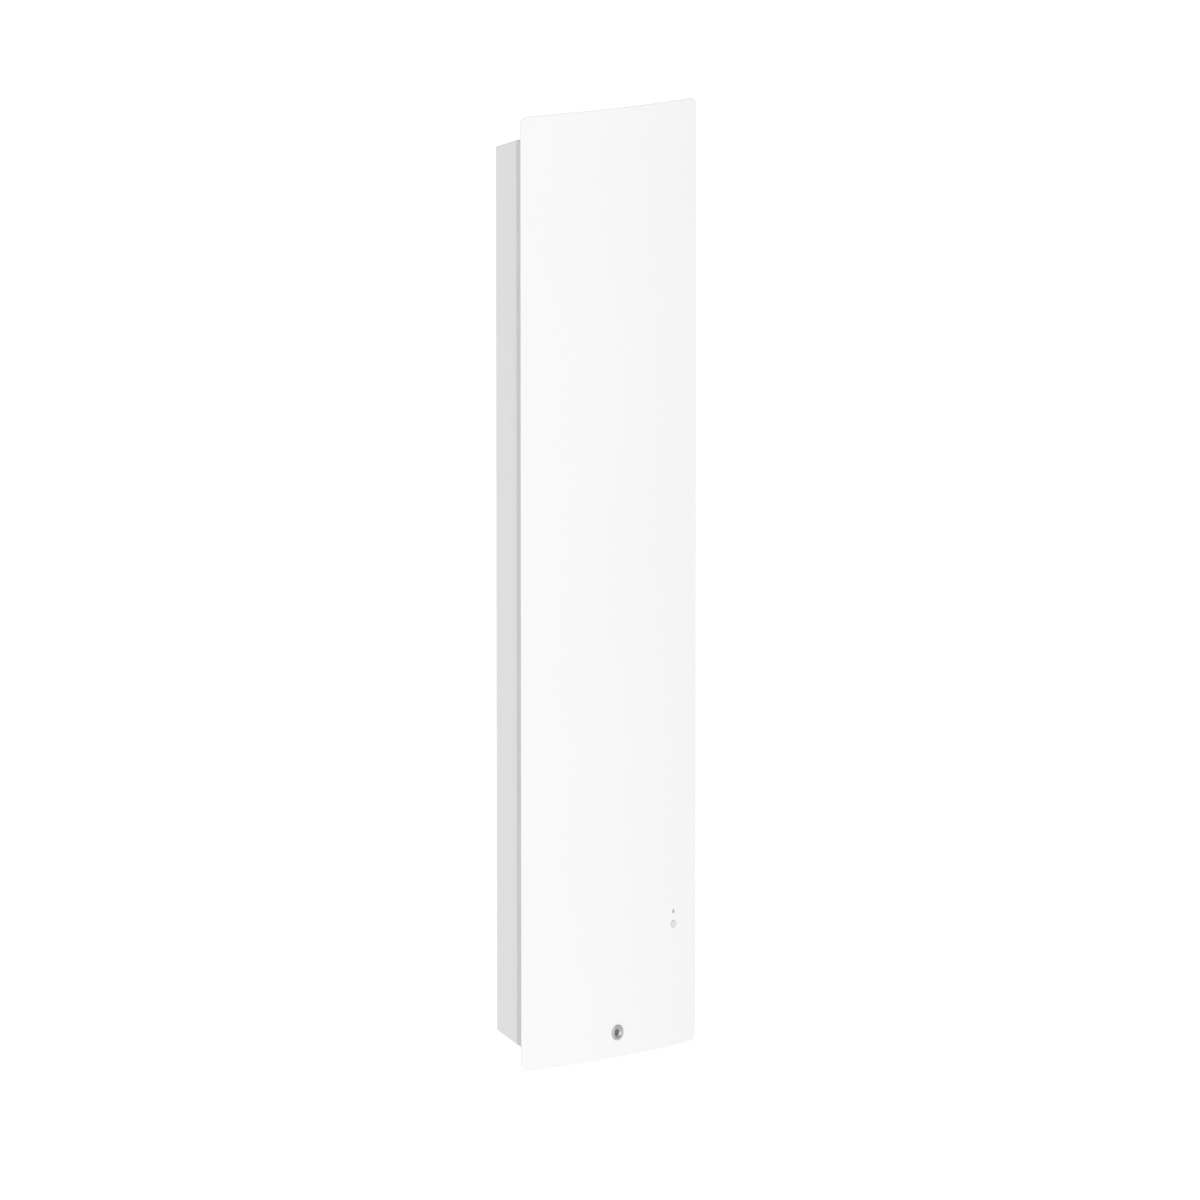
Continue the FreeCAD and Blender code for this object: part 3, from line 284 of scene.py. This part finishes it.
def cable_skin(name, colour):
    """Silicone insulation."""
    finish = Finish(name, colour, 0.5)
    shade, gloss, grain = finish.noise(20), finish.noise(4), finish.noise(0.8)
    finish.vary_colour(shade, (0.8, 0.8, 0.8))
    finish.vary_roughness(gloss, 0.42, 0.6)
    finish.raise_by(grain, 0.01)
    return finish.material


MATERIALS = {
    "cover_paint": powder_coat("cover_paint", (0.816, 0.816, 0.814)),
    "case_paint": powder_coat("case_paint", (0.75, 0.738, 0.744)),
    # The frame's grey is darker than the case's paint: painted shade, standing in for the shadow that the
    # cover's overhang casts on the strip between case and cover.
    "frame_plastic": plastic("frame_plastic", (0.64, 0.63, 0.635), 0.5),
    "galvanised_steel": galvanised("galvanised_steel"),
    "zinc_steel": plated("zinc_steel"),
    "spring_steel": plated("spring_steel", (0.55, 0.55, 0.56), 0.22),
    "lock_chrome": satin_metal("lock_chrome", (0.52, 0.52, 0.525), 0.49),
    "black_rubber": rubber("black_rubber"),
    "grey_foam": foam("grey_foam"),
    "cell_can": satin_metal("cell_can", (0.48, 0.52, 0.58), 0.35),
    "copper": copper("copper"),
    "circuit_board": circuit_board("circuit_board"),
    "spreader_aluminium": plated("spreader_aluminium", (0.70, 0.71, 0.72), 0.35),
    "black_plastic": plastic("black_plastic", (0.022, 0.022, 0.024), 0.45),
    "grey_plastic": plastic("grey_plastic", (0.16, 0.165, 0.17), 0.5),
    "white_plastic": plastic("white_plastic", (0.84, 0.84, 0.83), 0.32),
    "red_plastic": plastic("red_plastic", (0.50, 0.025, 0.018), 0.35),
    "clear_plastic": clear_plastic("clear_plastic"),
    "frosted_plastic": plastic("frosted_plastic", (0.46, 0.46, 0.465), 0.35),
    # The button cap's grey is darker than the white plastic: painted shade, so the raised cap's side wall
    # and edge read dark as in the shade beside and under it.
    "button_plastic": plastic("button_plastic", (0.67, 0.67, 0.67), 0.45),
    "fuse_ceramic": ceramic("fuse_ceramic"),
    "red_lead": cable_skin("red_lead", (0.48, 0.03, 0.025)),
    "black_lead": cable_skin("black_lead", (0.025, 0.025, 0.027)),
}


def dress_nodes():
    """Gives each CAD node the finish of its slot."""
    slots = {row["node"]: row["material_slot"] for row in frame["record"]["subparts"]}
    for name, thing in NODES.items():
        thing.data.materials.clear()
        thing.data.materials.append(MATERIALS[slots[name]])


# ---- small pieces that the frame leaves out or draws plainly


def box(mesh, low, high):
    """A closed box between two corners."""
    low, high = Vector(low) * MM, Vector(high) * MM
    place = Matrix.Translation((low + high) / 2) @ Matrix.Diagonal((*(high - low), 1))
    bmesh.ops.create_cube(mesh, size=1, matrix=place)


def slab(mesh, outline, front, back):
    """A flat piece between two depths, from its (x, z) outline."""
    rings = [[mesh.verts.new(Vector((x, y, z)) * MM) for x, z in outline] for y in (front, back)]
    for ring in rings:
        mesh.faces.new(ring)
    for i in range(len(outline)):
        mesh.faces.new((rings[0][i - 1], rings[0][i], rings[1][i], rings[1][i - 1]))


def lathe(mesh, centre, axis, outline, segments=48):
    """A closed outline of (along, radius) turned about an axis. A radius of 0 makes a single point."""
    turned = Vector(axis).to_track_quat("Z", "Y").to_matrix().to_4x4()
    place = Matrix.Translation(Vector(centre) * MM) @ turned
    rings = []
    for along, radius in outline:
        ring = []
        for i in range(segments if radius else 1):
            angle = 2 * math.pi * i / segments
            point = Vector((radius * math.cos(angle), radius * math.sin(angle), along)) * MM
            ring.append(mesh.verts.new(place @ point))
        rings.append(ring)
    for ring, following in zip(rings, rings[1:] + rings[:1]):
        for i in range(segments):
            corners = [
                ring[i % len(ring)],
                ring[(i + 1) % len(ring)],
                following[(i + 1) % len(following)],
                following[i % len(following)],
            ]
            corners = list(dict.fromkeys(corners))
            if len(corners) > 2:
                mesh.faces.new(corners)


def detail(name, body, slot, draw):
    """A piece drawn by a function, which rides on a body and has the finish of a slot."""
    mesh = bmesh.new()
    draw(mesh)
    bmesh.ops.recalc_face_normals(mesh, faces=mesh.faces)
    data = bpy.data.meshes.new(name)
    mesh.to_mesh(data)
    mesh.free()
    data.materials.append(MATERIALS[slot])
    thing = bpy.data.objects.new(name, data)
    bpy.context.scene.collection.objects.link(thing)
    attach(thing, body)
    return thing


def smooth(thing, angle=35):
    """Smooth shading, except over edges sharper than the angle."""
    thing.data.shade_smooth()
    thing.data.set_sharp_from_angle(angle=math.radians(angle))
    return thing


def lock_details():
    """Dust shutter in the key recess: two half-moon flaps on a dark seat, parted by the key's slot."""
    centre = middle("lock_barrel")
    shutter_depth = 2.4
    floor = low_of("lock_barrel").y + shutter_depth
    flap_radius, half_slot = 3.1, 0.4
    front, back = floor - 0.35, floor + 0.1
    half_circle = [math.radians(angle) for angle in range(-90, 91, 15)]

    def shutter(mesh):
        for side in (-1, 1):
            flap = []
            for angle in half_circle:
                across = half_slot + flap_radius * math.cos(angle)
                flap.append((centre.x + side * across, centre.z + flap_radius * math.sin(angle)))
            slab(mesh, flap, front, back)

    def seat(mesh):
        ring = [(-0.15, 0), (-0.15, 3.6), (-0.45, 3.8), (-0.45, 4.1), (0.3, 4.1), (0.3, 0)]
        lathe(mesh, (centre.x, floor, centre.z), (0, 1, 0), ring)

    detail("lock_shutter", "lock", "grey_plastic", shutter)
    smooth(detail("lock_shutter_seat", "lock", "black_plastic", seat))


def button_spring():
    """The button's return spring as one smooth coil."""
    low, high = low_of("button_spring"), high_of("button_spring")
    core = middle("button_spring")
    wire_radius, sides = 0.3, 10
    turns, steps_per_turn = 5, 32
    steps = turns * steps_per_turn
    coil_radius = (high.x - low.x) / 2 - wire_radius
    climb = high.y - low.y - 2 * wire_radius
    along = Vector((0, 1, 0))

    def coil(mesh):
        rings = []
        for i in range(steps + 1):
            angle = 2 * math.pi * i / steps_per_turn
            out = Vector((math.cos(angle), 0, math.sin(angle)))
            depth = low.y + wire_radius + climb * i / steps
            centre = Vector((core.x, depth, core.z)) + out * coil_radius
            around = [2 * math.pi * k / sides for k in range(sides)]
            points = [centre + (out * math.cos(a) + along * math.sin(a)) * wire_radius for a in around]
            rings.append([mesh.verts.new(point * MM) for point in points])
        for ring, following in zip(rings, rings[1:]):
            for k in range(sides):
                mesh.faces.new((ring[k - 1], ring[k], following[k], following[k - 1]))
        mesh.faces.new(rings[0])
        mesh.faces.new(rings[-1])

    spring = smooth(detail("return_spring", "chassis", "spring_steel", coil), 60)
    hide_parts("button_spring")
    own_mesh(spring)


def port_details():
    """Contacts along the roof of each data socket, and the two small lights above it."""
    low, high = low_of("communication_ports"), high_of("communication_ports")
    wall, socket_width = 6, 14
    socket_starts = (low.x + wall, high.x - wall - socket_width)
    contact_count, contact_pitch, contact_width, contact_inset = 8, 1.4, 0.6, 2
    light_insets, light_width = (1.5, 10), 2.5

    def contacts(mesh):
        for start in socket_starts:
            for i in range(contact_count):
                x = start + contact_inset + i * contact_pitch
                box(mesh, (x, low.y + 3, high.z - 6.4), (x + contact_width, low.y + 16, high.z - 5.9))

    def lights(mesh):
        for start in socket_starts:
            for inset in light_insets:
                x = start + inset
                box(mesh, (x, low.y - 0.25, high.z - 3.6), (x + light_width, low.y + 0.2, high.z - 2.2))

    detail("data_contacts", "chassis", "copper", contacts)
    detail("port_lights", "chassis", "frosted_plastic", lights)


def lead_details():
    """A shrunk sleeve where each power lead meets its terminal."""
    outline = [(0, 3.4), (0, 4.7), (9, 4.6), (12, 3.9), (12, 3.4)]
    positive_entry = low_of("isolator_body").x + 20
    negative_entry = low_of("negative_lead").x + 4.9
    ends = (
        ("positive_lead", positive_entry, "red_lead"),
        ("negative_lead", negative_entry, "black_lead"),
    )
    for lead, x, slot in ends:
        place = (x, middle(lead).y, low_of(lead).z)

        def sleeve(mesh):
            lathe(mesh, place, (0, 0, 1), outline)

        smooth(detail(f"{lead}_sleeve", "chassis", slot, sleeve))


def marks():
    """Raised signs: polarity on the terminal guard, earth beside its stud, on and off at the isolator."""

    def bar(mesh, x, y, z, wide, tall):
        box(mesh, (x - wide / 2, y - 0.3, z - tall / 2), (x + wide / 2, y + 0.1, z + tall / 2))

    low, high = low_of("terminal_guard"), high_of("terminal_guard")
    inset = 20
    height = middle("terminal_guard").z - 12
    arm, stroke = 7, 1.6
    stub = (arm - stroke) / 2
    reach = (stroke + stub) / 2

    def plus(mesh):
        bar(mesh, low.x + inset, low.y, height, arm, stroke)
        bar(mesh, low.x + inset, low.y, height + reach, stroke, stub)
        bar(mesh, low.x + inset, low.y, height - reach, stroke, stub)

    def minus(mesh):
        bar(mesh, high.x - inset, low.y, height, arm, stroke)

    detail("plus_sign", "chassis", "red_plastic", plus)
    detail("minus_sign", "chassis", "white_plastic", minus)

    stud = middle("earth_stud")
    wall = high_of("earth_stud").y
    line, line_pitch, stem = 1.0, 2.2, 6

    def earth(mesh):
        bar(mesh, stud.x, wall, stud.z + 19, line, stem)
        for i, wide in enumerate((9, 6, 3)):
            bar(mesh, stud.x, wall, stud.z + 15.2 - line_pitch * i, wide, line)

    detail("earth_sign", "chassis", "black_plastic", earth)

    centre = middle("isolator_handle")
    front = low_of("isolator_body").y + 3
    from_centre = 26.5
    ring = [(-0.3, 1.6), (-0.3, 2.6), (0.1, 2.6), (0.1, 1.6)]

    def on_off(mesh):
        bar(mesh, centre.x, front, centre.z + from_centre, 1.2, 5)
        lathe(mesh, (centre.x + from_centre, front, centre.z), (0, 1, 0), ring)

    detail("isolator_signs", "chassis", "white_plastic", on_off)


def rivets():
    """Rivet heads that hold the hook rail to the back of the tray."""
    low, high = low_of("hook_rail"), high_of("hook_rail")
    rail_sheet = 1.8
    face = low.y + rail_sheet
    height = high.z - 6
    outer, inner = 20, 93
    dome = [(0, 0), (0, 3.2), (0.7, 2.9), (1.2, 2.0), (1.5, 0)]

    def heads(mesh):
        for x in (low.x + outer, low.x + inner, high.x - inner, high.x - outer):
            lathe(mesh, (x, face, height), (0, 1, 0), dome, 32)

    smooth(detail("rail_rivets", "chassis", "zinc_steel", heads))


def rating_plate():
    """A blank metal plate on the inner lid."""
    low, high = low_of("inner_lid"), high_of("inner_lid")
    left, right = high.x - 100, high.x - 30
    foot, head = low.z + 18, low.z + 58
    front, back = low.y - 0.3, low.y + 0.05
    pin_inset = 3
    pin = [(-0.2, 0), (-0.2, 1.4), (0.3, 1.2), (0.5, 0)]

    def plate(mesh):
        box(mesh, (left, front, foot), (right, back, head))

    def pins(mesh):
        for x in (left + pin_inset, right - pin_inset):
            for z in (foot + pin_inset, head - pin_inset):
                lathe(mesh, (x, front, z), (0, -1, 0), pin, 24)

    detail("rating_plate", "chassis", "spreader_aluminium", plate)
    smooth(detail("rating_plate_pins", "chassis", "zinc_steel", pins))


# ---- camera, light and floor


def add_camera():
    """A long lens from the room's left, a little above, as the unit is seen from across a room. It aims
    a little off the middle of the cover's long edges, which lie behind its middle by the cover's bow."""
    turn, tilt = math.radians(45), math.radians(8.78)
    distance, lens, sensor, farthest = 17281.5, 371.3, 36, 200000
    cover_bow = 16
    aim_left, aim_down = 13.15, 21.95
    right = Vector((math.cos(turn), -math.sin(turn), 0))
    back = Vector((-math.sin(turn) * math.cos(tilt), -math.cos(turn) * math.cos(tilt), math.sin(tilt)))
    up = back.cross(right)
    long_edges = Vector((0, low_of("cover_panel").y + cover_bow, 0))
    aim = long_edges - right * aim_left - up * aim_down
    camera = bpy.data.objects.new("camera", bpy.data.cameras.new("camera"))
    camera.data.sensor_width = sensor
    camera.data.lens = lens
    camera.data.clip_end = farthest * MM
    place = Matrix.Translation((aim + back * distance) * MM)
    camera.matrix_world = place @ Matrix((right, up, back)).transposed().to_4x4()
    bpy.context.scene.collection.objects.link(camera)
    bpy.context.scene.camera = camera


def add_sun(name, direction, strength, spread):
    """A sun that shines along a direction, from a disc that is some degrees across."""
    data = bpy.data.lights.new(name, "SUN")
    data.energy = strength
    data.angle = math.radians(spread)
    sun = bpy.data.objects.new(name, data)
    away = -Vector(direction)
    sun.matrix_world = away.to_track_quat("Z", "Y").to_matrix().to_4x4()
    bpy.context.scene.collection.objects.link(sun)
    return sun


def add_world():
    """An even white glow, and a slightly brighter white backdrop that only the camera sees."""
    light_on_the_unit, backdrop_white = 0.62, 1.03
    world = bpy.data.worlds.new("studio")
    world.use_nodes = True
    tree = world.node_tree
    glow = tree.nodes["Background"]
    backdrop = tree.nodes.new("ShaderNodeBackground")
    for background, strength in ((glow, light_on_the_unit), (backdrop, backdrop_white)):
        background.inputs["Color"].default_value = (1, 1, 1, 1)
        background.inputs["Strength"].default_value = strength
    seen = tree.nodes.new("ShaderNodeLightPath").outputs["Is Camera Ray"]
    mix = tree.nodes.new("ShaderNodeMixShader")
    tree.links.new(seen, mix.inputs["Fac"])
    tree.links.new(glow.outputs["Background"], mix.inputs[1])
    tree.links.new(backdrop.outputs["Background"], mix.inputs[2])
    tree.links.new(mix.outputs["Shader"], tree.nodes["World Output"].inputs["Surface"])
    bpy.context.scene.world = world
    bpy.context.scene.view_settings.view_transform = "Standard"


def floor_paper():
    """White paper that can't be seen from below, so that low views show the unit's underside."""
    paper = Finish("floor_paper", (0.92, 0.92, 0.92), 0.9, edge=0)
    paper.vary_colour(paper.noise(3000), (0.995, 0.995, 0.995))
    from_below = paper.node("ShaderNodeNewGeometry").outputs["Backfacing"]
    clear = paper.node("ShaderNodeBsdfTransparent").outputs["BSDF"]
    mix = paper.node("ShaderNodeMixShader")
    paper.link(from_below, mix.inputs["Fac"])
    paper.link(paper.shader.outputs["BSDF"], mix.inputs[1])
    paper.link(clear, mix.inputs[2])
    paper.link(mix.outputs["Shader"], paper.tree.nodes["Material Output"].inputs["Surface"])
    return paper.material


def add_studio():
    """Broad light from the room's left, some from above, and a floor with a light of its own."""
    floor_size, floor_height = 160000, -1700
    across = math.radians(31)
    add_sun("key", (math.sin(across), math.cos(across), -0.35), strength=1.05, spread=40)
    add_sun("top", (0.1, 0.2, -1), strength=0.35, spread=40)
    floor_sun = add_sun("floor", (0, 0, -1), strength=1.1, spread=30)
    bpy.ops.mesh.primitive_plane_add(size=floor_size * MM, location=(0, 0, floor_height * MM))
    floor = bpy.context.object
    floor.name = "floor"
    lit = bpy.data.collections.new("lit_by_the_floor_light")
    lit.objects.link(floor)
    floor_sun.light_linking.receiver_collection = lit
    floor.data.materials.append(floor_paper())


add_camera()
add_world()
add_studio()
dress_nodes()
lock_details()
button_spring()
port_details()
lead_details()
marks()
rivets()
rating_plate()
